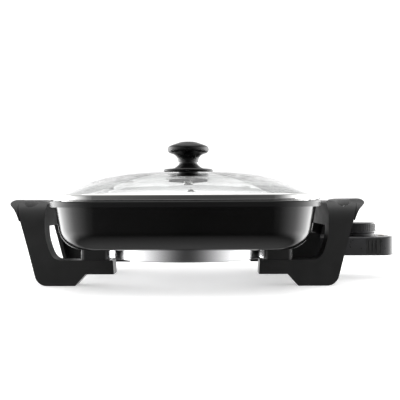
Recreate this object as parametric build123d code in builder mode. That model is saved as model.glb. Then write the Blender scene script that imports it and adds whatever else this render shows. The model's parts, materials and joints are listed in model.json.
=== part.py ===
"""Electric skillet: square pan, glass lid, two handle-and-leg mouldings and a plug-in heat control.

Frame: origin on the floor under the middle of the whole object, +X towards the heat control, +Z up.
Lengths are millimetres. Lengths along X in this file are measured from the pan's own upright axis,
which stands at X = PAN_X, and every piece is placed through level(), upright() or across().
"""
from build123d import *
import math
import os

# ---- driving dimensions -------------------------------------------------------------------------
HANDLE_REACH = 205.0      # pan axis to the outer lip of each handle
CONTROL_REACH = 254.0     # pan axis to the outer end of the heat control
PAN_X = (HANDLE_REACH - CONTROL_REACH) / 2

# pan: a die-cast aluminium vessel on a rounded-square plan
RIM_HALF = 148.0          # half width over the rim
RIM_CORNER = 56.0         # plan radius of the rim's corners
RIM_TOP = 97.0
RIM_SKIRT = 90.5          # underside of the rim
WALL_HALF = 143.0         # half width of the wall just under the rim
WALL = 3.6
WALL_DRAFT = 10.0         # degrees
FLOOR_UNDERSIDE = 44.0
FLOOR_TOP = 48.5
OUTER_FILLET = 26.0
INNER_FILLET = 22.0

# lid: a tempered glass dome in a rolled steel rim
BAND_HALF = 147.0
BAND_BOTTOM = 97.4
BAND_TOP = 104.4
GLASS_EDGE_HALF = 143.6
GLASS_THICKNESS = 3.6
GLASS_EDGE_TOP = 103.4
DOME_HALF = 139.5         # half width where the dome springs from the flat glass edge
DOME_RISE = 28.8
DOME_POWER = 3.3          # a high power gives steep flanks and a flat crown
GLASS_HOLE = 5.0

# heating disc and element, centred on the pan's axis
DISC_RADIUS = 104.0
DISC_BOTTOM = 29.6
DISC_PLATE = 4.0
ELEMENT_RADIUS = 78.0
ELEMENT_LEVEL = 38.0      # height of the element, its pins and the probe
SHEATH_RADIUS = 4.0
PIN_RADIUS = 2.4
PIN_OFFSET = 16.0         # each pin's distance from the probe
SHEATH_END = 116.0
PIN_END = 158.0
PROBE_TIP = 62.0
PROBE_RADIUS = 3.1
PROBE_BORE = 3.4

# handles and legs
LEG_FACE = 74.0           # outer face of each leg, front and rear
LEG_DEPTH = 20.0
LEG_INSIDE = LEG_FACE - LEG_DEPTH
SHOULDER_RADIUS = 27.0    # rolls the legs' faces into the handle's crest
CREST = 98.9
ARM_BOTTOM = 13.3
ARM_TOP = 29.3
ARM_END = 82.5
NECK_BACK = 57.0
SCREW_X = 105.0
SCREW_Y = 65.0

# heat control
CONTROL_NOSE = 140.0
CONTROL_HALF = 29.0
CONTROL_BOTTOM = 29.2
CONTROL_TOP = 52.0
CONTROL_SKIN = 2.6
DIAL_X = 213.0
DIAL_RADIUS = 22.0
DIAL_BOTTOM = 56.6
DIAL_TOP = 68.6

os.makedirs("parts", exist_ok=True)


# ---- shared planes, profiles and steps ----------------------------------------------------------
def level(z, x=0.0, y=0.0):
    """Horizontal plane at height z, its origin x and y from the pan's axis."""
    return Plane((PAN_X + x, y, z))


def upright(y=0.0):
    """Plane seen from the front: local x to the right from the pan's axis, local y up."""
    return Plane(origin=(PAN_X, y, 0), x_dir=(1, 0, 0), z_dir=(0, -1, 0))


def across(x, y=0.0, z=0.0):
    """Plane facing +X: local x along +Y, local y up."""
    return Plane(origin=(PAN_X + x, y, z), x_dir=(0, 1, 0), z_dir=(1, 0, 0))


def finish(piece, name):
    """Label a finished piece and write its STEP file."""
    piece.part.label = name
    export_step(piece.part, f"parts/{name}.step")


def square_radius(half):
    """Plan corner radius of a line that runs parallel to the pan's rim."""
    return RIM_CORNER - (RIM_HALF - half)


def mirrored(piece, plane):
    """A new piece that mirrors another one."""
    with BuildPart() as twin:
        add(piece.part)
        mirror(about=plane, mode=Mode.REPLACE)
    return twin


SIDE_PLANE = Plane((PAN_X, 0, 0), x_dir=(0, 1, 0), z_dir=(1, 0, 0))

# ---- pan ----------------------------------------------------------------------------------------
BOSS_RADIUS = 6.5
BOSS_BOTTOM = 34.0
THREAD_RADIUS = 2.1
THREAD_TOP = 45.2
screw_spots = [(sx * SCREW_X, sy * SCREW_Y) for sx in (-1, 1) for sy in (-1, 1)]

with BuildPart() as pan:
    with BuildSketch(level(RIM_SKIRT)):
        RectangleRounded(2 * WALL_HALF, 2 * WALL_HALF, square_radius(WALL_HALF))
    extrude(amount=-(RIM_SKIRT - FLOOR_UNDERSIDE), taper=WALL_DRAFT)
    fillet(pan.faces().sort_by(Axis.Z)[0].edges(), radius=OUTER_FILLET)
    with BuildSketch(level(RIM_SKIRT)):
        RectangleRounded(2 * RIM_HALF, 2 * RIM_HALF, RIM_CORNER)
    extrude(amount=RIM_TOP - RIM_SKIRT)
    fillet(pan.faces().sort_by(Axis.Z)[-1].edges(), radius=2.0)
    with BuildSketch(level(BOSS_BOTTOM)):
        with Locations(*screw_spots):
            Circle(BOSS_RADIUS)
    extrude(amount=FLOOR_UNDERSIDE + 2.0 - BOSS_BOTTOM)
    with BuildSketch(level(BOSS_BOTTOM)):
        with Locations(*screw_spots):
            Circle(THREAD_RADIUS)
    extrude(amount=THREAD_TOP - BOSS_BOTTOM, mode=Mode.SUBTRACT)

CAVITY_TOP_HALF = WALL_HALF - WALL + (RIM_TOP - RIM_SKIRT) * math.tan(math.radians(WALL_DRAFT))
with BuildPart() as pan_cavity:
    with BuildSketch(level(RIM_TOP)):
        RectangleRounded(2 * CAVITY_TOP_HALF, 2 * CAVITY_TOP_HALF, square_radius(CAVITY_TOP_HALF))
    extrude(amount=-(RIM_TOP - FLOOR_TOP), taper=WALL_DRAFT)
    fillet(pan_cavity.faces().sort_by(Axis.Z)[0].edges(), radius=INNER_FILLET)

with BuildPart() as pan_vessel:
    add(pan.part)
    add(pan_cavity.part, mode=Mode.SUBTRACT)
finish(pan_vessel, "pan")

# ---- heating element: sheath, packed magnesia, resistance wire, pins and seals ------------------
TURN_RADIUS = 14.0        # bend that leads each cold end out of the ring
MAGNESIA_END = 112.0
WIRE_RADIUS = 0.7
SHEATH_WALL = 1.0
SEAL_END = 118.0
turn_y = PIN_OFFSET + TURN_RADIUS
turn_x = math.sqrt((ELEMENT_RADIUS + TURN_RADIUS) ** 2 - turn_y ** 2)
turn_angle = math.degrees(math.atan2(turn_y, turn_x))


def element_line(end_x):
    """Centre line of the element, with both straight cold ends stopping at end_x."""
    with BuildLine(level(ELEMENT_LEVEL)) as line:
        Line((end_x, PIN_OFFSET), (turn_x, PIN_OFFSET))
        CenterArc((turn_x, turn_y), TURN_RADIUS, -90, turn_angle - 90)
        CenterArc((0, 0), ELEMENT_RADIUS, turn_angle, 360 - 2 * turn_angle)
        CenterArc((turn_x, -turn_y), TURN_RADIUS, 180 - turn_angle, turn_angle - 90)
        Line((turn_x, -PIN_OFFSET), (end_x, -PIN_OFFSET))
    return line


def element_tube(end_x, outer, inner):
    """Round tube, or a rod when inner is 0, swept along the element's centre line."""
    line = element_line(end_x)
    with BuildPart() as tube:
        with BuildSketch(across(end_x, PIN_OFFSET, ELEMENT_LEVEL)):
            Circle(outer)
            if inner:
                Circle(inner, mode=Mode.SUBTRACT)
        sweep(path=line.wires()[0])
    return tube


element_sheath = element_tube(SHEATH_END, SHEATH_RADIUS, SHEATH_RADIUS - SHEATH_WALL)
finish(element_sheath, "element_sheath")
magnesia_fill = element_tube(MAGNESIA_END, SHEATH_RADIUS - SHEATH_WALL, WIRE_RADIUS)
finish(magnesia_fill, "magnesia_fill")
resistance_wire = element_tube(MAGNESIA_END, WIRE_RADIUS, 0)
finish(resistance_wire, "resistance_wire")

with BuildPart() as terminal_pins:
    with BuildSketch(across(MAGNESIA_END, 0, ELEMENT_LEVEL)):
        with Locations((-PIN_OFFSET, 0), (PIN_OFFSET, 0)):
            Circle(PIN_RADIUS)
    extrude(amount=PIN_END - MAGNESIA_END)
    chamfer(terminal_pins.faces().sort_by(Axis.X)[-2:].edges(), length=0.8)
finish(terminal_pins, "terminal_pins")

with BuildPart() as terminal_seals:
    with BuildSketch(across(MAGNESIA_END, 0, ELEMENT_LEVEL)):
        with Locations((-PIN_OFFSET, 0), (PIN_OFFSET, 0)):
            Circle(SHEATH_RADIUS - SHEATH_WALL)
    extrude(amount=SHEATH_END - MAGNESIA_END)
    with BuildSketch(across(SHEATH_END, 0, ELEMENT_LEVEL)):
        with Locations((-PIN_OFFSET, 0), (PIN_OFFSET, 0)):
            Circle(SHEATH_RADIUS)
    extrude(amount=SEAL_END - SHEATH_END)
    with BuildSketch(across(MAGNESIA_END, 0, ELEMENT_LEVEL)):
        with Locations((-PIN_OFFSET, 0), (PIN_OFFSET, 0)):
            Circle(PIN_RADIUS)
    extrude(amount=SEAL_END - MAGNESIA_END, mode=Mode.SUBTRACT)
finish(terminal_seals, "terminal_seals")

# ---- heating disc: a casting with a ring boss round the element and a block for the probe -------
RING_BOSS = 10.0          # half width of the boss round the element
DISC_LIP = 6.0
BLOCK_HALF = 30.0
BLOCK_START = 56.0
BLOCK_BOTTOM = 28.6
GUARD_SCREW_X = 97.0
GUARD_SCREW_Y = 25.0
GUARD_THREAD = 1.5
PROBE_WELL_END = PROBE_TIP - 1.5
plate_bottom = FLOOR_UNDERSIDE - DISC_PLATE
boss_bottom = ELEMENT_LEVEL - SHEATH_RADIUS - 2.5

with BuildPart() as heating_disc:
    with BuildSketch(upright()):
        with BuildLine():
            Polyline(
                (0, FLOOR_UNDERSIDE), (DISC_RADIUS, FLOOR_UNDERSIDE), (DISC_RADIUS, DISC_BOTTOM + 0.8),
                (DISC_RADIUS - 0.8, DISC_BOTTOM), (DISC_RADIUS - DISC_LIP, DISC_BOTTOM),
                (DISC_RADIUS - DISC_LIP, plate_bottom), (ELEMENT_RADIUS + RING_BOSS, plate_bottom),
                (ELEMENT_RADIUS + RING_BOSS - 1, boss_bottom), (ELEMENT_RADIUS - RING_BOSS + 1, boss_bottom),
                (ELEMENT_RADIUS - RING_BOSS, plate_bottom), (0, plate_bottom), close=True,
            )
        make_face()
    revolve(axis=Axis((PAN_X, 0, 0), (0, 0, 1)))
    with BuildSketch(level(BLOCK_BOTTOM, BLOCK_START)):
        Rectangle(DISC_RADIUS - 2 - BLOCK_START, 2 * BLOCK_HALF, align=(Align.MIN, Align.CENTER))
    extrude(amount=plate_bottom + 1 - BLOCK_BOTTOM)
    add(element_sheath.part, mode=Mode.SUBTRACT)
    add(magnesia_fill.part, mode=Mode.SUBTRACT)
    add(resistance_wire.part, mode=Mode.SUBTRACT)
    with BuildSketch(across(PROBE_WELL_END, 0, ELEMENT_LEVEL)):
        Circle(PROBE_BORE)
    extrude(amount=DISC_RADIUS + 2 - PROBE_WELL_END, mode=Mode.SUBTRACT)
    with BuildSketch(level(BLOCK_BOTTOM, GUARD_SCREW_X)):
        with Locations((0, -GUARD_SCREW_Y), (0, GUARD_SCREW_Y)):
            Circle(GUARD_THREAD)
    extrude(amount=9.0, mode=Mode.SUBTRACT)
finish(heating_disc, "heating_disc")

# ---- handle and leg moulding: one phenolic piece on each side -----------------------------------
WALL_INNER = 161.5        # face of the handle's upright wall towards the pan
WALL_OUTER = 166.5
WALL_FOOT = 68.0          # the upright wall ends here, so the space below it is open
BUMP_TOP = 96.6
VALLEY = (174.6, 93.0)
FOOT_START = 127.0
FOOT_END = 170.0
FOOT_RADIUS = 14.0
SLOT_X = 180.5            # middle of the finger slot in the inclined plate
SLOT_LENGTH = 134.0
SLOT_WIDTH = 17.0
POCKET_DEPTH = 15.0
NECK_START = 89.0
NECK_END = 121.0
NECK_FACE = 73.0
SINK_TOP = 23.0           # roof of the counterbore for the screw and its washer
SINK_RADIUS = 5.2
CLEARANCE_RADIUS = 2.8

with BuildPart() as handle_shell:
    with BuildSketch(upright(LEG_FACE)) as handle_outline:
        with BuildLine():
            Polyline((HANDLE_REACH - 24, 42), (FOOT_END + 4.8, 18), (FOOT_END, 0), (FOOT_START, 0),
                     (FOOT_START - 12, ARM_BOTTOM), (ARM_END, ARM_BOTTOM), (ARM_END + 1, ARM_TOP),
                     (142, ARM_TOP))
            Spline((142, ARM_TOP), (157, 42.5), (WALL_INNER, 70), tangents=((1, 0), (0, 1)))
            Line((WALL_INNER, 70), (WALL_INNER, BUMP_TOP - 3))
            Spline((WALL_INNER, BUMP_TOP - 3), (WALL_INNER + 3.5, BUMP_TOP), VALLEY,
                   tangents=((0, 1), (1, -0.7)))
            Spline(VALLEY, (189, 97.6), (199, CREST), tangents=((1, 0.45), (1, 0)))
            Spline((199, CREST), (HANDLE_REACH, 95), (HANDLE_REACH - 8, 85.7), (HANDLE_REACH - 14, 74),
                   (HANDLE_REACH - 24, 42), tangents=((1, 0), (-0.27, -1)))
        make_face()
        fillet(handle_outline.vertices().group_by(Axis.Y)[0].sort_by(Axis.X)[-1], radius=FOOT_RADIUS)
    extrude(amount=2 * LEG_FACE)
    with BuildSketch(upright(LEG_INSIDE)):
        with BuildLine():
            Polyline((ARM_END - 20, -5), (HANDLE_REACH + 10, -5), (HANDLE_REACH + 10, 92.6),
                     (HANDLE_REACH - 3, 92.6), (VALLEY[0] + 2, 87), (WALL_OUTER, 86),
                     (WALL_OUTER, WALL_FOOT), (WALL_INNER - 5, WALL_FOOT), (ARM_END - 20, 60), close=True)
        make_face()
    extrude(amount=2 * LEG_INSIDE, mode=Mode.SUBTRACT)
    with BuildSketch(across(ARM_END - 5)) as shoulder_outline:
        with Locations((0, CREST / 2 - 5)):
            Rectangle(2 * LEG_FACE, CREST + 10)
        fillet(shoulder_outline.vertices().group_by(Axis.Y)[-1], radius=SHOULDER_RADIUS)
    extrude(amount=HANDLE_REACH - ARM_END + 20, mode=Mode.INTERSECT)
    with BuildSketch(level(CREST + 5, SLOT_X)):
        SlotOverall(SLOT_LENGTH, SLOT_WIDTH, rotation=90)
    extrude(amount=-20, mode=Mode.SUBTRACT)


def leg_details(shell, side):
    """Add the neck, the inner pocket and the screw hole of one leg; side is -1 in front, 1 behind."""
    face_y = side * LEG_INSIDE
    with BuildPart() as leg:
        add(shell.part)
        with BuildSketch(level(ARM_TOP - 1, (NECK_START + NECK_END) / 2, side * (NECK_FACE + NECK_BACK) / 2)):
            RectangleRounded(NECK_END - NECK_START, NECK_FACE - NECK_BACK, 5)
        extrude(amount=FLOOR_UNDERSIDE - ARM_TOP + 1)
        with BuildSketch(upright(face_y)):
            with BuildLine():
                Polyline((FOOT_START + 5, 5), (FOOT_END - 9, 5), (FOOT_END - 1, 12),
                         (HANDLE_REACH - 29.5, 42), (HANDLE_REACH - 22, 67), (HANDLE_REACH - 15, 80), (WALL_INNER + 4.5, 80),
                         (WALL_INNER + 4.5, 68), (WALL_INNER, 46), (150, 27), (FOOT_START + 5, 24.5),
                         close=True)
            make_face()
        extrude(amount=-side * POCKET_DEPTH, mode=Mode.SUBTRACT)
        with BuildSketch(level(FLOOR_UNDERSIDE, SCREW_X, side * SCREW_Y)):
            Circle(BOSS_RADIUS + 0.1)
        extrude(amount=BOSS_BOTTOM - 0.1 - FLOOR_UNDERSIDE, mode=Mode.SUBTRACT)
        with BuildSketch(level(ARM_BOTTOM, SCREW_X, side * SCREW_Y)):
            Circle(CLEARANCE_RADIUS)
        extrude(amount=BOSS_BOTTOM - ARM_BOTTOM, mode=Mode.SUBTRACT)
        with BuildSketch(level(ARM_BOTTOM, SCREW_X, side * SCREW_Y)):
            Circle(SINK_RADIUS)
        extrude(amount=SINK_TOP - ARM_BOTTOM, mode=Mode.SUBTRACT)
    return leg


right_handle = leg_details(leg_details(handle_shell, -1), 1)
finish(right_handle, "right_handle")
left_handle = mirrored(right_handle, SIDE_PLANE)
finish(left_handle, "left_handle")

# ---- handle fixings: a washer and a screw up through each neck into the pan's bosses ------------
WASHER_RADIUS = 4.8
WASHER_THICKNESS = 0.8
HEAD_RADIUS = 4.2
HEAD_HEIGHT = 3.0
SCREW_TOP = THREAD_TOP - 0.6

with BuildPart() as handle_washers:
    with BuildSketch(level(SINK_TOP)):
        with Locations(*screw_spots):
            Circle(WASHER_RADIUS)
            Circle(THREAD_RADIUS + 0.1, mode=Mode.SUBTRACT)
    extrude(amount=-WASHER_THICKNESS)
finish(handle_washers, "handle_washers")

with BuildPart() as handle_screws:
    with BuildSketch(level(SINK_TOP - WASHER_THICKNESS)):
        with Locations(*screw_spots):
            Circle(HEAD_RADIUS)
    extrude(amount=-HEAD_HEIGHT)
    fillet(handle_screws.faces().group_by(Axis.Z)[0].edges(), radius=1.0)
    with BuildSketch(level(SINK_TOP - WASHER_THICKNESS)):
        with Locations(*screw_spots):
            Circle(THREAD_RADIUS)
    extrude(amount=SCREW_TOP - SINK_TOP + WASHER_THICKNESS)
    with BuildSketch(level(SINK_TOP - WASHER_THICKNESS - HEAD_HEIGHT)):
        with Locations(*screw_spots):
            Rectangle(4.6, 1.2)
            Rectangle(1.2, 4.6)
    extrude(amount=1.6, mode=Mode.SUBTRACT)
finish(handle_screws, "handle_screws")

# ---- terminal guard: a phenolic shroud round the pins, open towards the heat control ------------
GUARD_HALF = 33.0
GUARD_SKIN = 2.4
GUARD_START = 106.0
GUARD_MOUTH = 160.0
GUARD_BOTTOM = 25.8
GUARD_GAP = 1.5           # air between the guard's roof and the pan's rounded edge
GUARD_ROOF = 124.0        # the roof starts here, past the element's seals
wall_run = (RIM_SKIRT - FLOOR_UNDERSIDE) * math.tan(math.radians(WALL_DRAFT))
fillet_run = OUTER_FILLET * math.tan(math.radians(45 - WALL_DRAFT / 2))
PAN_FLAT_HALF = WALL_HALF - wall_run - fillet_run
roof_level = FLOOR_UNDERSIDE + OUTER_FILLET
roof_radius = OUTER_FILLET + GUARD_GAP
GUARD_SCREW_HEAD = 2.9
PEAK_RUN = 7.0
PEAK_RISE = 5.5


def guard_section(inset, start, mouth):
    """Side view of the guard, shrunk by inset; its roof runs along the pan's rounded lower edge."""
    radius = roof_radius + inset
    angle_high = 50.0
    high = (PAN_FLAT_HALF + radius * math.sin(math.radians(angle_high)),
            roof_level - radius * math.cos(math.radians(angle_high)))
    low = (start, roof_level - radius)
    with BuildLine() as line:
        Line((start, GUARD_BOTTOM + inset), low)
        Line(low, (PAN_FLAT_HALF, low[1]))
        CenterArc((PAN_FLAT_HALF, roof_level), radius, -90, angle_high)
        Line(high, (high[0] + PEAK_RUN, high[1] + PEAK_RISE))
        Line((high[0] + PEAK_RUN, high[1] + PEAK_RISE), (GUARD_MOUTH - 5, high[1] + PEAK_RISE))
        Line((GUARD_MOUTH - 5, high[1] + PEAK_RISE), (mouth, CONTROL_TOP + 1 + GUARD_SKIN - inset))
        Line((mouth, CONTROL_TOP + 1 + GUARD_SKIN - inset), (mouth, GUARD_BOTTOM + inset))
        Line((mouth, GUARD_BOTTOM + inset), (start, GUARD_BOTTOM + inset))
    return line


with BuildPart() as terminal_guard:
    with BuildSketch(upright(GUARD_HALF)):
        add(guard_section(0, GUARD_START, GUARD_MOUTH).line)
        make_face()
    extrude(amount=2 * GUARD_HALF)
    with BuildSketch(upright(GUARD_HALF - GUARD_SKIN)):
        add(guard_section(GUARD_SKIN, GUARD_START - 1, GUARD_MOUTH + 1).line)
        make_face()
    extrude(amount=2 * (GUARD_HALF - GUARD_SKIN), mode=Mode.SUBTRACT)
    with BuildSketch(level(GUARD_BOTTOM + GUARD_SKIN, GUARD_START)):
        Rectangle(GUARD_ROOF - GUARD_START, 2 * (GUARD_HALF - GUARD_SKIN), align=(Align.MIN, Align.CENTER))
    extrude(amount=FLOOR_UNDERSIDE - GUARD_BOTTOM, mode=Mode.SUBTRACT)
    with BuildSketch(level(GUARD_BOTTOM, GUARD_SCREW_X - 5)):
        Rectangle(GUARD_START + 6 - GUARD_SCREW_X + 5, 2 * GUARD_HALF, align=(Align.MIN, Align.CENTER))
    extrude(amount=GUARD_SKIN)
    with BuildSketch(level(GUARD_BOTTOM, GUARD_SCREW_X)):
        with Locations((0, -GUARD_SCREW_Y), (0, GUARD_SCREW_Y)):
            Circle(GUARD_THREAD + 0.3)
    extrude(amount=GUARD_SKIN, mode=Mode.SUBTRACT)
finish(terminal_guard, "terminal_guard")

with BuildPart() as guard_screws:
    with BuildSketch(level(GUARD_BOTTOM, GUARD_SCREW_X)):
        with Locations((0, -GUARD_SCREW_Y), (0, GUARD_SCREW_Y)):
            Circle(GUARD_SCREW_HEAD)
    extrude(amount=-1.8)
    fillet(guard_screws.faces().group_by(Axis.Z)[0].edges(), radius=0.9)
    with BuildSketch(level(GUARD_BOTTOM, GUARD_SCREW_X)):
        with Locations((0, -GUARD_SCREW_Y), (0, GUARD_SCREW_Y)):
            Circle(GUARD_THREAD)
    extrude(amount=10.0)
finish(guard_screws, "guard_screws")

# ---- lid rim: rolled steel channel round the glass, with a lip that centres the lid in the pan --
LIP_HALF = 138.0          # outer half width of the centring lip
LIP_THICKNESS = 1.4
LIP_BOTTOM = 94.4
COVER_INNER_HALF = 141.0  # the channel's upper leaf stops here and leaves the dome free
GLASS_EDGE_BOTTOM = GLASS_EDGE_TOP - GLASS_THICKNESS


def rim_square(half):
    """Rounded square parallel to the pan's rim, centred on the sketch plane."""
    return RectangleRounded(2 * half, 2 * half, square_radius(half))


with BuildPart() as lid_rim:
    with BuildSketch(level(BAND_BOTTOM)):
        rim_square(BAND_HALF)
    extrude(amount=BAND_TOP - BAND_BOTTOM)
    fillet(lid_rim.edges().group_by(Axis.Z)[-1], radius=2.6)
    fillet(lid_rim.edges().group_by(Axis.Z)[0], radius=1.6)
    with BuildSketch(level(LIP_BOTTOM)):
        rim_square(LIP_HALF)
    extrude(amount=BAND_BOTTOM - LIP_BOTTOM)
    with BuildSketch(level(LIP_BOTTOM)):
        rim_square(LIP_HALF - LIP_THICKNESS)
    extrude(amount=GLASS_EDGE_BOTTOM - LIP_BOTTOM, mode=Mode.SUBTRACT)
    with BuildSketch(level(GLASS_EDGE_BOTTOM)):
        rim_square(GLASS_EDGE_HALF)
    extrude(amount=GLASS_THICKNESS, mode=Mode.SUBTRACT)
    with BuildSketch(level(GLASS_EDGE_TOP)):
        rim_square(COVER_INNER_HALF)
    extrude(amount=BAND_TOP - GLASS_EDGE_TOP, mode=Mode.SUBTRACT)
finish(lid_rim, "lid_rim")

# ---- lid glass: flat edge flange under a dome whose sections grow rounder towards the crown -----
DOME_SECTIONS = (1.0, 0.93, 0.84, 0.72, 0.57, 0.4, 0.22)
EDGE_ROUNDNESS = square_radius(DOME_HALF) / DOME_HALF
VENT_Y = 104.0
VENT_RADIUS = 4.2
vent_share = VENT_Y / DOME_HALF
vent_slope = DOME_RISE * DOME_POWER * vent_share ** (DOME_POWER - 1) / DOME_HALF


def dome_height(share):
    """Rise of the dome above its edge, where share runs from 1 at the edge to 0 at the crown."""
    return DOME_RISE * (1 - share ** DOME_POWER)


def dome_solid(base):
    """Solid under the dome's outer surface, standing on the height base."""
    with BuildPart() as dome:
        for share in DOME_SECTIONS:
            roundness = EDGE_ROUNDNESS + (0.98 - EDGE_ROUNDNESS) * (1 - share) ** 1.2
            half = DOME_HALF * share
            with BuildSketch(level(base + dome_height(share))):
                RectangleRounded(2 * half, 2 * half, half * roundness)
        loft()
    return dome


def vent_plane(lift):
    """Plane on the dome at the vent, square to the glass and raised by lift along its normal."""
    spot = (PAN_X, VENT_Y, GLASS_EDGE_TOP + dome_height(vent_share))
    return Plane(origin=spot, x_dir=(1, 0, 0), z_dir=(0, vent_slope, 1)).offset(lift)


dome_outside = dome_solid(GLASS_EDGE_TOP)
dome_inside = dome_solid(GLASS_EDGE_BOTTOM)
GLASS_CROWN = GLASS_EDGE_TOP + dome_height(DOME_SECTIONS[-1])

with BuildPart() as lid_glass:
    with BuildSketch(level(GLASS_EDGE_BOTTOM)):
        rim_square(GLASS_EDGE_HALF)
    extrude(amount=GLASS_THICKNESS)
    add(dome_outside.part)
    add(dome_inside.part, mode=Mode.SUBTRACT)
    with BuildSketch(level(GLASS_CROWN - 20)):
        Circle(GLASS_HOLE)
    extrude(amount=30, mode=Mode.SUBTRACT)
    with BuildSketch(vent_plane(-8)):
        Circle(VENT_RADIUS)
    extrude(amount=12, mode=Mode.SUBTRACT)
finish(lid_glass, "lid_glass")

# ---- steam vent: a pressed steel grommet through the glass --------------------------------------
VENT_FLANGE = 6.3
VENT_BORE = 2.6
VENT_GAP = 0.25           # the flat flanges stand this far off the curved glass
VENT_LEAF = 0.9
vent_depth = GLASS_THICKNESS * math.cos(math.atan(vent_slope)) + VENT_GAP

with BuildPart() as vent_grommet:
    with BuildSketch(vent_plane(VENT_GAP)):
        Circle(VENT_FLANGE)
    extrude(amount=VENT_LEAF)
    fillet(vent_grommet.edges().sort_by(Axis.Z)[-1], radius=0.6)
    with BuildSketch(vent_plane(-vent_depth - VENT_LEAF)):
        Circle(VENT_FLANGE)
    extrude(amount=VENT_LEAF)
    with BuildSketch(vent_plane(-vent_depth)):
        Circle(VENT_RADIUS - 0.1)
    extrude(amount=vent_depth + VENT_GAP)
    with BuildSketch(vent_plane(-vent_depth - VENT_LEAF)):
        Circle(VENT_BORE)
    extrude(amount=vent_depth + VENT_GAP + 2 * VENT_LEAF, mode=Mode.SUBTRACT)
finish(vent_grommet, "vent_grommet")

# ---- lid knob: mushroom grip, finger guard, gaskets, brass insert and the screw from below ------
KNOB_TOP = 171.3
KNOB_RADIUS = 26.0
KNOB_FOOT = 146.2
KNOB_NECK = 12.4
GUARD_DISC_RADIUS = 31.2
GUARD_DISC_BOTTOM = GLASS_CROWN + 1.3
GUARD_DISC_TOP = 136.4
UNDER_GASKET_RADIUS = 24.5
UNDER_GASKET = 1.0
KNOB_GASKET_RADIUS = 13.5
INSERT_RADIUS = 4.5
INSERT_BOTTOM = 149.0
INSERT_TOP = 163.0
BOLT_RADIUS = 2.4
BOLT_HEAD_RADIUS = 6.2
glass_underside = GLASS_CROWN - GLASS_THICKNESS
bolt_seat = glass_underside - UNDER_GASKET
BOLT_HEAD = 5.8


def knob_axis():
    return Axis((PAN_X, 0, 0), (0, 0, 1))


with BuildPart() as lid_knob:
    with BuildSketch(upright()):
        with BuildLine():
            Line((0, KNOB_FOOT), (KNOB_NECK, KNOB_FOOT))
            Spline((KNOB_NECK, KNOB_FOOT), (14.2, 152.0), (19.5, 156.2), (KNOB_RADIUS, 161.6),
                   tangents=((0.1, 1), (0.1, 1)))
            Spline((KNOB_RADIUS, 161.6), (21.5, 166.8), (12.5, 170.1), (0, KNOB_TOP),
                   tangents=((0.0, 1), (-1, 0)))
            Line((0, KNOB_TOP), (0, KNOB_FOOT))
        make_face()
    revolve(axis=knob_axis())
    with BuildSketch(level(KNOB_FOOT)):
        Circle(BOLT_RADIUS + 0.3)
    extrude(amount=INSERT_BOTTOM - KNOB_FOOT, mode=Mode.SUBTRACT)
    with BuildSketch(level(INSERT_BOTTOM)):
        Circle(INSERT_RADIUS)
    extrude(amount=INSERT_TOP - INSERT_BOTTOM, mode=Mode.SUBTRACT)
finish(lid_knob, "lid_knob")

with BuildPart() as knob_insert:
    with BuildSketch(level(INSERT_BOTTOM)):
        Circle(INSERT_RADIUS)
        Circle(BOLT_RADIUS, mode=Mode.SUBTRACT)
    extrude(amount=INSERT_TOP - INSERT_BOTTOM - 1)
finish(knob_insert, "knob_insert")

with BuildPart() as finger_guard:
    with BuildSketch(upright()):
        with BuildLine():
            Polyline((BOLT_RADIUS + 0.3, GUARD_DISC_BOTTOM), (GUARD_DISC_RADIUS - 0.8, GUARD_DISC_BOTTOM),
                     (GUARD_DISC_RADIUS, GUARD_DISC_BOTTOM + 0.8), (GUARD_DISC_RADIUS, GUARD_DISC_TOP - 1),
                     (GUARD_DISC_RADIUS - 1, GUARD_DISC_TOP))
            Spline((GUARD_DISC_RADIUS - 1, GUARD_DISC_TOP), (19.5, 137.4), (13.5, 141.2), (11.0, 145.4),
                   tangents=((-1, 0.02), (-0.2, 1)))
            Polyline((11.0, 145.4), (11.0, KNOB_FOOT), (BOLT_RADIUS + 0.3, KNOB_FOOT),
                     (BOLT_RADIUS + 0.3, GUARD_DISC_BOTTOM))
        make_face()
    revolve(axis=knob_axis())
finish(finger_guard, "finger_guard")

with BuildPart() as knob_gasket:
    with BuildSketch(level(GLASS_CROWN)):
        Circle(KNOB_GASKET_RADIUS)
        Circle(BOLT_RADIUS + 0.2, mode=Mode.SUBTRACT)
    extrude(amount=GUARD_DISC_BOTTOM - GLASS_CROWN)
finish(knob_gasket, "knob_gasket")

with BuildPart() as under_gasket:
    with BuildSketch(level(glass_underside)):
        Circle(UNDER_GASKET_RADIUS)
        Circle(BOLT_RADIUS + 0.2, mode=Mode.SUBTRACT)
    extrude(amount=-UNDER_GASKET)
finish(under_gasket, "under_gasket")

with BuildPart() as knob_screw:
    with BuildSketch(level(bolt_seat)):
        Circle(BOLT_HEAD_RADIUS)
    extrude(amount=-BOLT_HEAD)
    fillet(knob_screw.edges().group_by(Axis.Z)[0], radius=1.2)
    with BuildSketch(level(bolt_seat - BOLT_HEAD)):
        Rectangle(9, 1.4)
    extrude(amount=1.8, mode=Mode.SUBTRACT)
    with BuildSketch(level(bolt_seat)):
        Circle(BOLT_RADIUS)
    extrude(amount=INSERT_TOP - 3 - bolt_seat)
finish(knob_screw, "knob_screw")

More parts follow.
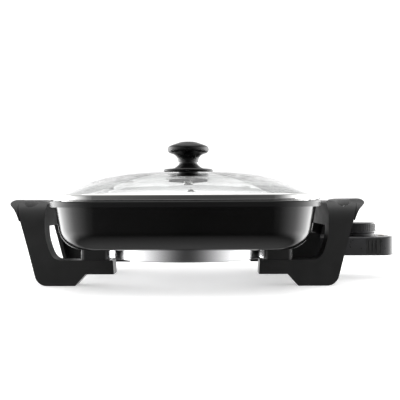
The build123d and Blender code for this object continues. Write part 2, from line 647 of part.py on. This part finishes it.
# ---- heat control housing: base and cover shells that part at the height of the pins ------------
CONTROL_END_RADIUS = 18.0
CONTROL_NOSE_RADIUS = 6.0
BOSS_TOP = 56.0
DIAL_BOSS_RADIUS = 21.5
SPINDLE_RADIUS = 3.0
SPINDLE_FIT = 0.06        # running clearance in the cover's boss
PIN_HOLE = 3.3
GRIP_X = 225.0
GRIP_LENGTH = 18.0
GRIP_LOW = 31.4
GRIP_HIGH = 50.2
GRIP_RECESS = 1.2
GLAND_X = 196.0
GLAND_LEVEL = 44.2
GLAND_RADIUS = 4.4
LENS_X = 243.5
LENS_RADIUS = 4.4
HOUSING_SCREWS = [(152.0, -23.2), (152.0, 23.2), (238.0, -19.5), (238.0, 19.5)]
POST_RADIUS = 2.8
HOUSING_THREAD = 1.2
HOUSING_HEAD = 2.2
HOUSING_SINK = 1.8
shell_floor = CONTROL_BOTTOM + CONTROL_SKIN
shell_roof = CONTROL_TOP - CONTROL_SKIN


def control_plan(inset):
    """Plan of the heat control, shrunk by inset: tight corners at the nose, wide ones at the far end."""
    with BuildSketch() as plan:
        Rectangle(CONTROL_REACH - CONTROL_NOSE, 2 * CONTROL_HALF)
        fillet(plan.vertices().group_by(Axis.X)[-1], radius=CONTROL_END_RADIUS)
        fillet(plan.vertices().group_by(Axis.X)[0], radius=CONTROL_NOSE_RADIUS)
        if inset:
            offset(amount=-inset, mode=Mode.REPLACE)
    return plan.sketch


CONTROL_MIDDLE = (CONTROL_REACH + CONTROL_NOSE) / 2

with BuildPart() as control_block:
    with BuildSketch(level(CONTROL_BOTTOM, CONTROL_MIDDLE)):
        add(control_plan(0))
    extrude(amount=CONTROL_TOP - CONTROL_BOTTOM)
    fillet(control_block.edges().group_by(Axis.Z)[-1], radius=2.5)
    fillet(control_block.edges().group_by(Axis.Z)[0], radius=2.0)
    with BuildSketch(level(CONTROL_TOP - 1, DIAL_X)):
        Circle(DIAL_BOSS_RADIUS)
    extrude(amount=BOSS_TOP - CONTROL_TOP + 1)
    fillet(control_block.edges().group_by(Axis.Z)[-1], radius=0.8)
    with BuildSketch(level(shell_floor, CONTROL_MIDDLE)):
        add(control_plan(CONTROL_SKIN))
    extrude(amount=shell_roof - shell_floor, mode=Mode.SUBTRACT)
    with BuildSketch(across(CONTROL_NOSE - 1, 0, ELEMENT_LEVEL)):
        with Locations((-PIN_OFFSET, 0), (PIN_OFFSET, 0)):
            Circle(PIN_HOLE)
        Circle(PROBE_RADIUS)
    extrude(amount=CONTROL_SKIN + 2, mode=Mode.SUBTRACT)
    for side in (-1, 1):
        with BuildSketch(upright(side * CONTROL_HALF)):
            with Locations((GRIP_X, (GRIP_LOW + GRIP_HIGH) / 2)):
                RectangleRounded(GRIP_LENGTH, GRIP_HIGH - GRIP_LOW, 2)
        extrude(amount=side * GRIP_RECESS, mode=Mode.SUBTRACT)
    with BuildSketch(upright(CONTROL_HALF + 1)):
        with Locations((GLAND_X, GLAND_LEVEL)):
            Circle(GLAND_RADIUS)
    extrude(amount=CONTROL_SKIN + 2, mode=Mode.SUBTRACT)
    with BuildSketch(level(shell_roof - 1, LENS_X)):
        Circle(LENS_RADIUS)
    extrude(amount=CONTROL_SKIN + 2, mode=Mode.SUBTRACT)
    with BuildSketch(level(shell_roof - 1, DIAL_X)):
        Circle(SPINDLE_RADIUS + SPINDLE_FIT)
    extrude(amount=BOSS_TOP - shell_roof + 2, mode=Mode.SUBTRACT)
    with BuildSketch(level(shell_floor - 0.5)):
        with Locations(*HOUSING_SCREWS):
            Circle(POST_RADIUS)
    extrude(amount=shell_roof - shell_floor + 1)
    with BuildSketch(level(CONTROL_BOTTOM)):
        with Locations(*HOUSING_SCREWS):
            Circle(HOUSING_THREAD)
    extrude(amount=shell_roof - 2 - CONTROL_BOTTOM, mode=Mode.SUBTRACT)
    with BuildSketch(level(CONTROL_BOTTOM)):
        with Locations(*HOUSING_SCREWS):
            Circle(HOUSING_HEAD + 0.2)
    extrude(amount=HOUSING_SINK, mode=Mode.SUBTRACT)

with BuildPart() as control_base:
    add(control_block.part)
    split(bisect_by=Plane.XY.offset(ELEMENT_LEVEL), keep=Keep.BOTTOM)
finish(control_base, "control_base")

with BuildPart() as control_cover:
    add(control_block.part)
    split(bisect_by=Plane.XY.offset(ELEMENT_LEVEL), keep=Keep.TOP)
finish(control_cover, "control_cover")

with BuildPart() as housing_screws:
    with BuildSketch(level(CONTROL_BOTTOM + HOUSING_SINK)):
        with Locations(*HOUSING_SCREWS):
            Circle(HOUSING_HEAD)
    extrude(amount=-1.5)
    with BuildSketch(level(CONTROL_BOTTOM + HOUSING_SINK)):
        with Locations(*HOUSING_SCREWS):
            Circle(HOUSING_THREAD)
    extrude(amount=shell_roof - 3 - CONTROL_BOTTOM - HOUSING_SINK)
finish(housing_screws, "housing_screws")

GRIP_RIBS = 3
GRIP_PITCH = 4.5
with BuildPart() as grip_panels:
    for side in (-1, 1):
        seat = side * (CONTROL_HALF - GRIP_RECESS)
        with BuildSketch(upright(seat)):
            with Locations((GRIP_X, (GRIP_LOW + GRIP_HIGH) / 2)):
                RectangleRounded(GRIP_LENGTH, GRIP_HIGH - GRIP_LOW, 2)
        extrude(amount=-side * (GRIP_RECESS - 0.3))
        with BuildSketch(upright(seat)):
            with Locations((GRIP_X, (GRIP_LOW + GRIP_HIGH) / 2)):
                with GridLocations(GRIP_PITCH, 1, GRIP_RIBS, 1):
                    SlotOverall(GRIP_HIGH - GRIP_LOW - 5, 1.8, rotation=90)
        extrude(amount=-side * (GRIP_RECESS + 0.6))
finish(grip_panels, "grip_panels")

with BuildPart() as cord_gland:
    with BuildSketch(upright(CONTROL_HALF - CONTROL_SKIN - 1)):
        with Locations((GLAND_X, GLAND_LEVEL)):
            Circle(GLAND_RADIUS)
    extrude(amount=-(CONTROL_SKIN + 1))
    with BuildSketch(upright(CONTROL_HALF)):
        with Locations((GLAND_X, GLAND_LEVEL)):
            Circle(GLAND_RADIUS + 1.4)
    extrude(amount=-2.0)
    fillet(cord_gland.edges().group_by(Axis.Y)[-1], radius=0.8)
    with BuildSketch(upright(CONTROL_HALF - CONTROL_SKIN - 2)):
        with Locations((GLAND_X, GLAND_LEVEL)):
            Circle(3.0)
    extrude(amount=-(CONTROL_SKIN + 6), mode=Mode.SUBTRACT)
finish(cord_gland, "cord_gland")

LAMP_RADIUS = 2.5
with BuildPart() as indicator_lens:
    with BuildSketch(level(shell_roof, LENS_X)):
        Circle(LENS_RADIUS)
    extrude(amount=CONTROL_SKIN + 1.3)
    fillet(indicator_lens.edges().group_by(Axis.Z)[-1], radius=1.2)
    with BuildSketch(level(shell_roof, LENS_X)):
        Circle(LENS_RADIUS - 1.0)
    extrude(amount=CONTROL_SKIN, mode=Mode.SUBTRACT)
finish(indicator_lens, "indicator_lens")

with BuildPart() as indicator_lamp:
    with BuildSketch(level(shell_floor + 2, LENS_X)):
        Circle(LAMP_RADIUS)
    extrude(amount=shell_roof - shell_floor - 1)
    fillet(indicator_lamp.edges().group_by(Axis.Z)[-1], radius=2.2)
finish(indicator_lamp, "indicator_lamp")

# ---- dial, its pointer mark, spindle and retaining clip -----------------------------------------
DIAL_FLANGE = 2.0
DIAL_RIBS = 48
RIB_WIDTH = 1.0
RIB_PROUD = 0.45
SPINDLE_TIP = 44.0
SPINDLE_TOP = 66.0
CLIP_TOP = 49.0
CLIP_THICKNESS = 0.8
CLIP_RADIUS = 5.2
CLIP_GROOVE = 2.4
MARK_DEPTH = 0.4

with BuildPart() as dial:
    with BuildSketch(level(DIAL_BOTTOM, DIAL_X)):
        Circle(DIAL_RADIUS + 1.0)
    extrude(amount=DIAL_FLANGE)
    with BuildSketch(level(DIAL_BOTTOM, DIAL_X)):
        Circle(DIAL_RADIUS - 0.4)
    extrude(amount=DIAL_TOP - DIAL_BOTTOM)
    fillet(dial.edges().group_by(Axis.Z)[-1], radius=1.4)
    with BuildSketch(level(DIAL_BOTTOM + DIAL_FLANGE, DIAL_X)):
        with PolarLocations(DIAL_RADIUS - 0.4, DIAL_RIBS):
            Rectangle(2 * RIB_PROUD, RIB_WIDTH)
    extrude(amount=DIAL_TOP - DIAL_BOTTOM - DIAL_FLANGE - 1.6)
    with BuildSketch(level(DIAL_BOTTOM, DIAL_X)):
        Circle(SPINDLE_RADIUS)
    extrude(amount=SPINDLE_TOP - DIAL_BOTTOM, mode=Mode.SUBTRACT)
    with BuildSketch(level(DIAL_TOP, DIAL_X + DIAL_RADIUS * 0.62)):
        SlotOverall(10, 1.8)
    extrude(amount=-MARK_DEPTH, mode=Mode.SUBTRACT)
finish(dial, "dial")

with BuildPart() as dial_mark:
    with BuildSketch(level(DIAL_TOP, DIAL_X + DIAL_RADIUS * 0.62)):
        SlotOverall(10, 1.8)
    extrude(amount=-MARK_DEPTH)
finish(dial_mark, "dial_mark")

with BuildPart() as dial_spindle:
    with BuildSketch(level(SPINDLE_TIP, DIAL_X)):
        Circle(SPINDLE_RADIUS)
    extrude(amount=SPINDLE_TOP - SPINDLE_TIP)
    with BuildSketch(level(CLIP_TOP, DIAL_X)):
        Circle(SPINDLE_RADIUS + 1)
        Circle(CLIP_GROOVE, mode=Mode.SUBTRACT)
    extrude(amount=-CLIP_THICKNESS, mode=Mode.SUBTRACT)
finish(dial_spindle, "dial_spindle")

with BuildPart() as spindle_clip:
    with BuildSketch(level(CLIP_TOP, DIAL_X)):
        Circle(CLIP_RADIUS)
        Circle(CLIP_GROOVE, mode=Mode.SUBTRACT)
        with Locations((CLIP_RADIUS, 0)):
            Rectangle(2 * CLIP_RADIUS, 2.6, mode=Mode.SUBTRACT)
    extrude(amount=-CLIP_THICKNESS)
finish(spindle_clip, "spindle_clip")

# ---- probe and thermostat: the tube grows with heat and its rod opens the contacts --------------
TUBE_END = 156.0
TUBE_BORE = 2.4
ROD_RADIUS = 1.2
ROD_END = 167.0
FRAME_START = 152.5
FRAME_PLATE = 1.4
FRAME_END = 206.0
FRAME_HALF = 8.0
FRAME_LEVEL = 33.2
STACK_START = 169.0
STACK_END = 179.0
BLADE = 0.5
BLADE_END = 215.0
LOWER_BLADE = 38.4
UPPER_BLADE = 41.2
STACK_TOP = 43.6
CONTACT_X = 205.0
CONTACT_RADIUS = 1.8
RIVET_RADIUS = 1.2
RECEPTACLE_RADIUS = 4.0
RECEPTACLE_BORE = 2.7
RECEPTACLE_START = 143.2
RECEPTACLE_END = 170.0
STRAP = 0.8

with BuildPart() as probe_tube:
    with BuildSketch(across(PROBE_TIP, 0, ELEMENT_LEVEL)):
        Circle(PROBE_RADIUS)
    extrude(amount=TUBE_END - PROBE_TIP)
    fillet(probe_tube.edges().group_by(Axis.X)[0], radius=2.2)
    with BuildSketch(across(PROBE_TIP + 2, 0, ELEMENT_LEVEL)):
        Circle(TUBE_BORE)
    extrude(amount=TUBE_END - PROBE_TIP, mode=Mode.SUBTRACT)
finish(probe_tube, "probe_tube")

with BuildPart() as probe_rod:
    with BuildSketch(across(PROBE_TIP + 2, 0, ELEMENT_LEVEL)):
        Circle(ROD_RADIUS)
    extrude(amount=ROD_END - PROBE_TIP - 2)
finish(probe_rod, "probe_rod")

with BuildPart() as thermostat_frame:
    with BuildSketch(level(FRAME_LEVEL, FRAME_START)):
        Rectangle(FRAME_END - FRAME_START, 2 * FRAME_HALF, align=(Align.MIN, Align.CENTER))
    extrude(amount=FRAME_PLATE)
    with BuildSketch(level(FRAME_LEVEL, FRAME_START)):
        Rectangle(FRAME_PLATE, 2 * FRAME_HALF, align=(Align.MIN, Align.CENTER))
    extrude(amount=12.0)
    with BuildSketch(across(FRAME_START - 1, 0, ELEMENT_LEVEL)):
        Circle(PROBE_RADIUS)
    extrude(amount=FRAME_PLATE + 2, mode=Mode.SUBTRACT)
    with BuildSketch(level(FRAME_LEVEL, (STACK_START + STACK_END) / 2)):
        Circle(RIVET_RADIUS)
    extrude(amount=FRAME_PLATE, mode=Mode.SUBTRACT)
finish(thermostat_frame, "thermostat_frame")


def stack_layer(low, high, half_width, start, end):
    """Flat layer of the contact stack with the rivet's hole through it."""
    with BuildPart() as layer:
        with BuildSketch(level(low, start)):
            Rectangle(end - start, 2 * half_width, align=(Align.MIN, Align.CENTER))
        extrude(amount=high - low)
        with BuildSketch(level(low, (STACK_START + STACK_END) / 2)):
            Circle(RIVET_RADIUS)
        extrude(amount=high - low, mode=Mode.SUBTRACT)
    return layer


frame_top = FRAME_LEVEL + FRAME_PLATE
finish(stack_layer(frame_top, LOWER_BLADE, 5.5, STACK_START, STACK_END), "lower_insulator")
finish(stack_layer(LOWER_BLADE, LOWER_BLADE + BLADE, 4, STACK_START, BLADE_END - 6), "lower_contact_blade")
finish(stack_layer(LOWER_BLADE + BLADE, UPPER_BLADE, 5.5, STACK_START, STACK_END), "middle_insulator")
finish(stack_layer(UPPER_BLADE, UPPER_BLADE + BLADE, 4, STACK_START, BLADE_END), "upper_contact_blade")
finish(stack_layer(UPPER_BLADE + BLADE, STACK_TOP, 5.5, STACK_START, STACK_END), "upper_insulator")

with BuildPart() as stack_rivet:
    with BuildSketch(level(FRAME_LEVEL, (STACK_START + STACK_END) / 2)):
        Circle(RIVET_RADIUS)
    extrude(amount=STACK_TOP - FRAME_LEVEL)
    for seat, rise in ((FRAME_LEVEL, -0.9), (STACK_TOP, 0.9)):
        with BuildSketch(level(seat, (STACK_START + STACK_END) / 2)):
            Circle(2 * RIVET_RADIUS)
        extrude(amount=rise)
finish(stack_rivet, "stack_rivet")

with BuildPart() as contact_points:
    with BuildSketch(level(LOWER_BLADE + BLADE, CONTACT_X)):
        Circle(CONTACT_RADIUS)
    extrude(amount=1.0)
    with BuildSketch(level(UPPER_BLADE, CONTACT_X)):
        Circle(CONTACT_RADIUS)
    extrude(amount=-1.0)
finish(contact_points, "contact_points")

with BuildPart() as receptacles:
    with BuildSketch(across(RECEPTACLE_START, 0, ELEMENT_LEVEL)):
        with Locations((-PIN_OFFSET, 0), (PIN_OFFSET, 0)):
            Circle(RECEPTACLE_RADIUS)
            Circle(RECEPTACLE_BORE, mode=Mode.SUBTRACT)
    extrude(amount=RECEPTACLE_END - RECEPTACLE_START)
finish(receptacles, "receptacles")

with BuildPart() as contact_straps:
    for side, tail_x, tail_y in ((-1, 186.0, 4.5), (1, 194.0, 11.0)):
        with BuildSketch(level(LOWER_BLADE - STRAP)):
            with BuildLine():
                Polyline((RECEPTACLE_END, side * (PIN_OFFSET - 2)), (RECEPTACLE_END, side * (PIN_OFFSET + 2)),
                         (tail_x, side * (PIN_OFFSET + 2)), (tail_x, side * (tail_y - 3)),
                         (tail_x - 4, side * (tail_y - 3)), (tail_x - 4, side * (PIN_OFFSET - 2)), close=True)
            make_face()
        extrude(amount=STRAP)
finish(contact_straps, "contact_straps")
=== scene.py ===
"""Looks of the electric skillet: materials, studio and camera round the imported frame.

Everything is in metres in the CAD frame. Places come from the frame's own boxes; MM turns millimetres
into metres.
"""

import json
import math

import bpy
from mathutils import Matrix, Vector


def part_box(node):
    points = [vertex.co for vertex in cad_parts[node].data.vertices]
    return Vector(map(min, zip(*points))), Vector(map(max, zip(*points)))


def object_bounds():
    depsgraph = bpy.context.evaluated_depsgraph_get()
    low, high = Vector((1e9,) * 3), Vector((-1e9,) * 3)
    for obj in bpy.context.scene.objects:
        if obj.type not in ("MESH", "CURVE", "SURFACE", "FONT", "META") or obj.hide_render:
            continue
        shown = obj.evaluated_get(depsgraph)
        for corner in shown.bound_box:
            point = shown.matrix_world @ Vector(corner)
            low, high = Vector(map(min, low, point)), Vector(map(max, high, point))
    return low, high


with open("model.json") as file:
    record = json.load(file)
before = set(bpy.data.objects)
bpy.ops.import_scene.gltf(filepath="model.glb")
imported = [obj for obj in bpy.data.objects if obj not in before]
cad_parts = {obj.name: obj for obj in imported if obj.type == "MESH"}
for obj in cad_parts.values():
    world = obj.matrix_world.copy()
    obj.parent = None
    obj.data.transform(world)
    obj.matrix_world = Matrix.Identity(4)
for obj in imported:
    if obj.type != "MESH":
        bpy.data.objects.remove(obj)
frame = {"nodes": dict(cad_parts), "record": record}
CAD_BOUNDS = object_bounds()
MM = 0.001

pan_low, pan_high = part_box("pan")
PAN_X = (pan_low[0] + pan_high[0]) / 2
FLOOR_Z = CAD_BOUNDS[0][2]
SATIN_START = 90.0 * MM     # the pan's finish turns satin here, at the underside of its rim
SATIN_END = 91.0 * MM
CAMERA_SIDE = 26.8 * MM     # from the pan's axis, towards the heat control
CAMERA_BACK = 0.6985        # in front of the pan's axis
CAMERA_HEIGHT = 97.6 * MM
CAMERA_ROLL = 0.25          # degrees
CAMERA_YAW = 0.99           # degrees, to the left


# ---- materials ----------------------------------------------------------------------------------
def new_material(name, **sockets):
    """A Principled material whose named sockets take plain values."""
    material = bpy.data.materials.new(name)
    material.use_nodes = True
    shader = material.node_tree.nodes["Principled BSDF"]
    for socket, value in sockets.items():
        shader.inputs[socket.replace("_", " ")].default_value = value
    return material


def add_node(material, kind, **settings):
    """A new node in the material's tree, with its named inputs or properties set."""
    node = material.node_tree.nodes.new(kind)
    for key, value in settings.items():
        socket = key.replace("_", " ")
        if socket in node.inputs:
            node.inputs[socket].default_value = value
        else:
            setattr(node, key, value)
    return node


def connect(material, source, output, target, entry):
    """Link one node's output to another node's input."""
    material.node_tree.links.new(source.outputs[output], target.inputs[entry])


def shader_of(material):
    return material.node_tree.nodes["Principled BSDF"]


def object_coordinates(material, scale=(1, 1, 1)):
    """Object coordinates, stretched by scale."""
    place = add_node(material, "ShaderNodeTexCoord")
    mapping = add_node(material, "ShaderNodeMapping", Scale=scale)
    connect(material, place, "Object", mapping, "Vector")
    return mapping


def add_bump(material, height, output, strength, distance):
    """Bump from a height output, chained after any bump that is there already."""
    shader = shader_of(material)
    bump = add_node(material, "ShaderNodeBump", Strength=strength, Distance=distance)
    connect(material, height, output, bump, "Height")
    if shader.inputs["Normal"].is_linked:
        earlier = shader.inputs["Normal"].links[0].from_node
        connect(material, earlier, "Normal", bump, "Normal")
    connect(material, bump, "Normal", shader, "Normal")


def grain(material, size, strength, depth, detail=3.0):
    """Fine moulded or sprayed grain of the given size in metres."""
    place = object_coordinates(material)
    noise = add_node(material, "ShaderNodeTexNoise", Scale=1 / size, Detail=detail)
    connect(material, place, "Vector", noise, "Vector")
    add_bump(material, noise, "Fac", strength, depth)


def vary_roughness(material, size, low, high, scale=(1, 1, 1)):
    """Roughness that drifts between low and high in patches of the given size."""
    place = object_coordinates(material, scale)
    noise = add_node(material, "ShaderNodeTexNoise", Scale=1 / size, Detail=4.0)
    spread = add_node(material, "ShaderNodeMapRange")
    spread.inputs["From Min"].default_value = 0.3
    spread.inputs["From Max"].default_value = 0.7
    spread.inputs["To Min"].default_value = low
    spread.inputs["To Max"].default_value = high
    connect(material, place, "Vector", noise, "Vector")
    connect(material, noise, "Fac", spread, "Value")
    connect(material, spread, "Result", shader_of(material), "Roughness")


def satin_above(material, start, end, roughness):
    """Blend the roughness that is there already into a satin one between two heights."""
    earlier = shader_of(material).inputs["Roughness"].links[0].from_node
    place = add_node(material, "ShaderNodeTexCoord")
    split = add_node(material, "ShaderNodeSeparateXYZ")
    blend = add_node(material, "ShaderNodeMapRange")
    blend.inputs["From Min"].default_value = start
    blend.inputs["From Max"].default_value = end
    blend.inputs["To Max"].default_value = roughness
    connect(material, place, "Object", split, "Vector")
    connect(material, split, "Z", blend, "Value")
    connect(material, earlier, "Result", blend, "To Min")
    connect(material, blend, "Result", shader_of(material), "Roughness")


def vary_colour(material, size, first, second):
    """Base colour that drifts between two tones in patches of the given size."""
    place = object_coordinates(material)
    noise = add_node(material, "ShaderNodeTexNoise", Scale=1 / size, Detail=5.0)
    ramp = add_node(material, "ShaderNodeValToRGB")
    ramp.color_ramp.elements[0].position = 0.35
    ramp.color_ramp.elements[1].position = 0.65
    ramp.color_ramp.elements[0].color = (*first, 1)
    ramp.color_ramp.elements[1].color = (*second, 1)
    connect(material, place, "Vector", noise, "Vector")
    connect(material, noise, "Fac", ramp, "Fac")
    connect(material, ramp, "Color", shader_of(material), "Base Color")


def nonstick():
    material = new_material("nonstick", IOR=1.5)
    vary_colour(material, 0.05, (0.0012, 0.0012, 0.0012), (0.0018, 0.0018, 0.0018))
    vary_roughness(material, 0.03, 0.13, 0.19)
    satin_above(material, SATIN_START, SATIN_END, 0.36)
    grain(material, 0.0009, 0.05, 0.0001)
    return material


def cast_aluminium():
    """Bare casting, faced on a lathe: fine rings about the pan's axis."""
    material = new_material("cast_aluminium", Metallic=1.0, Base_Color=(0.6, 0.6, 0.61, 1))
    place = add_node(material, "ShaderNodeTexCoord")
    shift = add_node(material, "ShaderNodeVectorMath", operation="SUBTRACT")
    shift.inputs[1].default_value = (PAN_X, 0, 0)
    flat = add_node(material, "ShaderNodeVectorMath", operation="MULTIPLY")
    flat.inputs[1].default_value = (1, 1, 0)
    radius = add_node(material, "ShaderNodeVectorMath", operation="LENGTH")
    rings = add_node(material, "ShaderNodeTexNoise", noise_dimensions="1D", Scale=1600.0, Detail=2.0)
    connect(material, place, "Object", shift, 0)
    connect(material, shift, "Vector", flat, 0)
    connect(material, flat, "Vector", radius, 0)
    connect(material, radius, "Value", rings, "W")
    add_bump(material, rings, "Fac", 0.25, 0.0002)
    vary_roughness(material, 0.02, 0.16, 0.26)
    return material


def phenolic():
    material = new_material("phenolic", IOR=1.5)
    vary_colour(material, 0.02, (0.006, 0.006, 0.006), (0.009, 0.009, 0.009))
    vary_roughness(material, 0.015, 0.36, 0.46)
    grain(material, 0.0006, 0.12, 0.00015)
    return material


def knob_phenolic():
    material = new_material("knob_phenolic", IOR=1.35)
    vary_colour(material, 0.01, (0.003, 0.003, 0.003), (0.004, 0.004, 0.004))
    vary_roughness(material, 0.01, 0.26, 0.34)
    grain(material, 0.0005, 0.04, 0.0001)
    return material


def rim_steel():
    """Polished stainless band with faint polishing lines along it."""
    material = new_material("rim_steel", Metallic=1.0, Base_Color=(0.84, 0.84, 0.83, 1))
    vary_roughness(material, 0.004, 0.07, 0.13, (1, 1, 12))
    grain(material, 0.0008, 0.03, 0.00005)
    return material


def lid_glass():
    material = new_material(
        "lid_glass", Base_Color=(0.985, 0.992, 0.99, 1), Roughness=0.0, IOR=1.5, Transmission_Weight=1.0)
    grain(material, 0.03, 0.012, 0.0006, detail=1.0)
    return material


def control_plastic():
    material = new_material("control_plastic", IOR=1.5)
    vary_colour(material, 0.02, (0.02, 0.02, 0.021), (0.028, 0.028, 0.03))
    vary_roughness(material, 0.01, 0.26, 0.34)
    grain(material, 0.0004, 0.06, 0.0001)
    return material


def grip_plastic():
    material = new_material("grip_plastic", Roughness=0.6, IOR=1.5)
    vary_colour(material, 0.01, (0.010, 0.010, 0.010), (0.016, 0.016, 0.016))
    grain(material, 0.0007, 0.3, 0.0002)
    return material


def plain_finish(name, colour, low, high, grain_size=0.0006, grain_strength=0.08, **sockets):
    """Small-part finish: two close tones, drifting roughness and a fine grain."""
    material = new_material(name, **sockets)
    darker = tuple(0.9 * value for value in colour)
    vary_colour(material, 0.006, darker, colour)
    vary_roughness(material, 0.005, low, high)
    grain(material, grain_size, grain_strength, 0.0001)
    return material


SLOT_MATERIALS = {
    "nonstick": nonstick(),
    "cast_aluminium": cast_aluminium(),
    "phenolic": phenolic(),
    "knob_phenolic": knob_phenolic(),
    "rim_steel": rim_steel(),
    "lid_glass": lid_glass(),
    "control_plastic": control_plastic(),
    "grip_plastic": grip_plastic(),
    "dial_mark": plain_finish("dial_mark", (0.75, 0.75, 0.72), 0.4, 0.5),
    "gasket_rubber": plain_finish("gasket_rubber", (0.012, 0.012, 0.012), 0.6, 0.75, 0.0004, 0.2),
    "fastener_steel": plain_finish("fastener_steel", (0.62, 0.62, 0.61), 0.2, 0.35, Metallic=1.0),
    "sheath_steel": plain_finish("sheath_steel", (0.5, 0.5, 0.49), 0.25, 0.4, Metallic=1.0),
    "ceramic": plain_finish("ceramic", (0.84, 0.82, 0.76), 0.45, 0.6),
    "brass": plain_finish("brass", (0.72, 0.53, 0.25), 0.22, 0.38, Metallic=1.0),
    "lens_amber": plain_finish("lens_amber", (0.85, 0.8, 0.72), 0.12, 0.2, Transmission_Weight=0.5),
    "lamp_glass": plain_finish("lamp_glass", (0.95, 0.7, 0.45), 0.05, 0.12, Transmission_Weight=0.8),
}

for entry in frame["record"]["subparts"]:
    cad_object = frame["nodes"][entry["node"]]
    cad_object.data.materials.clear()
    cad_object.data.materials.append(SLOT_MATERIALS[entry["material_slot"]])


# ---- studio -------------------------------------------------------------------------------------
def build_floor():
    """Wide pale floor under the object."""
    half = 12.0
    mesh = bpy.data.meshes.new("studio_floor")
    corners = [(-half, -half, FLOOR_Z), (half, -half, FLOOR_Z), (half, half, FLOOR_Z), (-half, half, FLOOR_Z)]
    mesh.from_pydata(corners, [], [(0, 1, 2, 3)])
    floor = bpy.data.objects.new("studio_floor", mesh)
    bpy.context.scene.collection.objects.link(floor)
    mesh.materials.append(new_material(
        "studio_floor", Base_Color=(0.9, 0.9, 0.9, 1), Roughness=0.9,
        Emission_Color=(1, 1, 1, 1), Emission_Strength=0.4))
    floor.visible_glossy = False


def build_world():
    """White studio: dim in front, very bright soft sides a little behind the object, plain white behind.

    side_stops give the light from level directions by their angle in degrees from the one that points
    from the object towards the camera; height_share fades it above and below. overhead adds the light
    from above and below. Both run over the sine of the elevation.
    """
    side_stops = ((0, 0.06), (20, 0.25), (35, 0.7), (67, 2.2), (95, 6.0), (118, 7.5), (143, 3.8),
                  (160, 1.3), (180, 1.15))
    height_share = ((-0.75, 0.0), (-0.45, 1.0), (0.3, 1.0), (0.6, 0.12), (1.0, 0.0))
    overhead = ((-1.0, 0.6), (-0.8, 0.3), (-0.65, 0.0), (0.3, 0.0), (0.6, 0.38), (1.0, 0.9))
    brightest = 8.0
    world = bpy.data.worlds.new("studio")
    bpy.context.scene.world = world
    world.use_nodes = True
    tree = world.node_tree
    link = tree.links.new
    background = tree.nodes["Background"]
    background.inputs["Strength"].default_value = brightest
    place = tree.nodes.new("ShaderNodeTexCoord")
    split = tree.nodes.new("ShaderNodeSeparateXYZ")
    link(place.outputs["Generated"], split.inputs["Vector"])
    level = tree.nodes.new("ShaderNodeVectorMath")
    level.operation = "MULTIPLY"
    level.inputs[1].default_value = (1, 1, 0)
    link(place.outputs["Generated"], level.inputs[0])
    unit = tree.nodes.new("ShaderNodeVectorMath")
    unit.operation = "NORMALIZE"
    link(level.outputs["Vector"], unit.inputs[0])
    heading = tree.nodes.new("ShaderNodeSeparateXYZ")
    link(unit.outputs["Vector"], heading.inputs["Vector"])

    def ramp(source, output, stops):
        """Light over one direction component, from -1 to 1."""
        spread = tree.nodes.new("ShaderNodeMapRange")
        spread.inputs["From Min"].default_value = -1
        node = tree.nodes.new("ShaderNodeValToRGB")
        link(source.outputs[output], spread.inputs["Value"])
        link(spread.outputs["Result"], node.inputs["Fac"])
        elements = node.color_ramp.elements
        while len(elements) < len(stops):
            elements.new(0.5)
        for element, (position, light) in zip(elements, stops):
            element.position = (1 + position) / 2
            element.color = (light, light, light, 1)
        return node

    around = [(-math.cos(math.radians(angle)), light / brightest) for angle, light in side_stops]
    sides = ramp(heading, "Y", around)
    share = ramp(split, "Z", height_share)
    above = ramp(split, "Z", [(height, light / brightest) for height, light in overhead])
    faded = tree.nodes.new("ShaderNodeVectorMath")
    faded.operation = "MULTIPLY"
    total = tree.nodes.new("ShaderNodeVectorMath")
    total.operation = "ADD"
    link(sides.outputs["Color"], faded.inputs[0])
    link(share.outputs["Color"], faded.inputs[1])
    link(faded.outputs["Vector"], total.inputs[0])
    link(above.outputs["Color"], total.inputs[1])
    link(total.outputs["Vector"], background.inputs["Color"])


def area_light(name, place, aim, width, height, power):
    """Soft rectangular light at place, turned towards aim."""
    data = bpy.data.lights.new(name, "AREA")
    data.shape = "RECTANGLE"
    data.size = width
    data.size_y = height
    data.energy = power
    light = bpy.data.objects.new(name, data)
    bpy.context.scene.collection.objects.link(light)
    light.location = place
    light.rotation_euler = (Vector(aim) - Vector(place)).to_track_quat("-Z", "Y").to_euler()


def build_camera():
    """Level camera in front of the pan, at the height of the lid's rim."""
    data = bpy.data.cameras.new("camera")
    data.sensor_width = 36
    data.lens = 49.5
    data.clip_end = 100
    camera = bpy.data.objects.new("camera", data)
    bpy.context.scene.collection.objects.link(camera)
    camera.location = (PAN_X + CAMERA_SIDE, -CAMERA_BACK, CAMERA_HEIGHT)
    camera.rotation_euler = (math.radians(90), math.radians(CAMERA_ROLL), math.radians(CAMERA_YAW))
    bpy.context.scene.camera = camera


build_floor()
build_world()
area_light("top_light", (0, 0.1, 1.8), (PAN_X, 0, 0.07), 1.6, 1.2, 12)
build_camera()
bpy.context.scene.view_settings.view_transform = "Standard"
